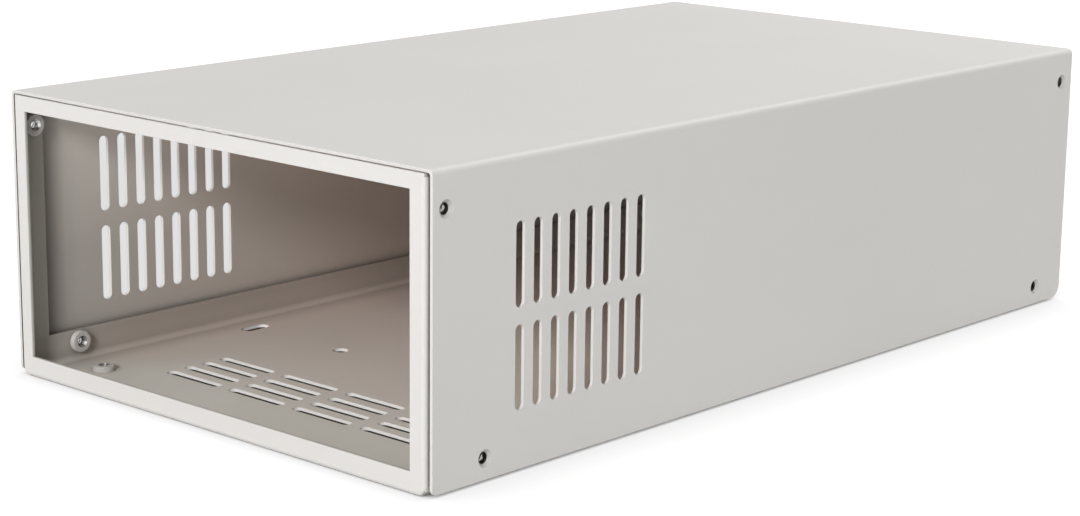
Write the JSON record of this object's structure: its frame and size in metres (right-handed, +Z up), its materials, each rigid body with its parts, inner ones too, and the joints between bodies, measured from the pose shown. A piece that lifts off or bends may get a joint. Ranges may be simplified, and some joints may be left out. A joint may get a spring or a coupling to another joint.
{
  "type": "sheet metal chassis",
  "caption": "Folded sheet metal chassis: base tray with a framed front window, slotted inverted-U cover and pressed-in threaded nuts.",
  "frame": {"origin": "middle of the underside, where the chassis stands", "axes": "+Y from the front window to the rear wall, +Z up, +X to the right seen from the front"},
  "size_m": [0.178, 0.314, 0.088],
  "materials": {
    "tray_coat": "fine-textured light grey powder coat",
    "cover_coat": "fine-textured light grey powder coat",
    "nut_coat": "coated with the sheet, bare steel in the thread"
  },
  "bodies": {
    "root": {"base_tray": "tray_coat", "cover": "cover_coat", "side_nut_left_front_top": "nut_coat", "side_nut_left_front_bottom": "nut_coat", "side_nut_left_rear_top": "nut_coat", "side_nut_left_rear_bottom": "nut_coat", "side_nut_right_front_top": "nut_coat", "side_nut_right_front_bottom": "nut_coat", "side_nut_right_rear_top": "nut_coat", "side_nut_right_rear_bottom": "nut_coat", "floor_nut_front_left": "nut_coat", "floor_nut_front_right": "nut_coat", "floor_nut_rear_left": "nut_coat", "floor_nut_rear_right": "nut_coat"}
  },
  "joints": []
}
